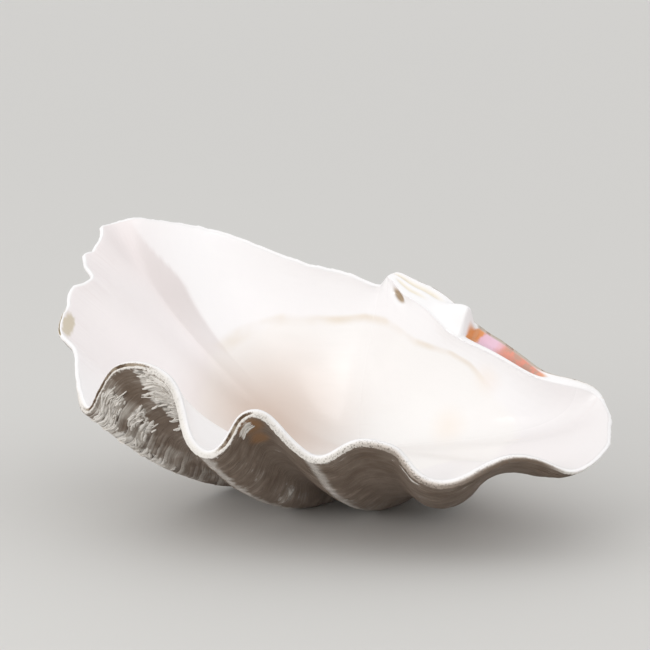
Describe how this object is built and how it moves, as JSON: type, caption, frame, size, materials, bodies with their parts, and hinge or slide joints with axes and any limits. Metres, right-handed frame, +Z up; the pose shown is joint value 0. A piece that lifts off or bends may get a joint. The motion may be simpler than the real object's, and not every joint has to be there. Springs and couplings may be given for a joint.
{
  "type": "giant clam shell",
  "caption": "Single valve of a giant clam, with deep wavy ribs, layered growth ledges and a smooth white bowl, lying on its ribs with the hollow side up.",
  "frame": {"origin": "middle of the underside of the object's box, on the surface that it rests on", "axes": "+Z up out of the hollow, +X towards the rear end on the viewer's right, +Y away from the viewer towards the hinge"},
  "size_m": [0.3944, 0.276, 0.1926],
  "materials": {
    "shell": "chalky, layered outside, smooth porcelain inside"
  },
  "bodies": {
    "root": {"shell": "shell"}
  },
  "joints": []
}
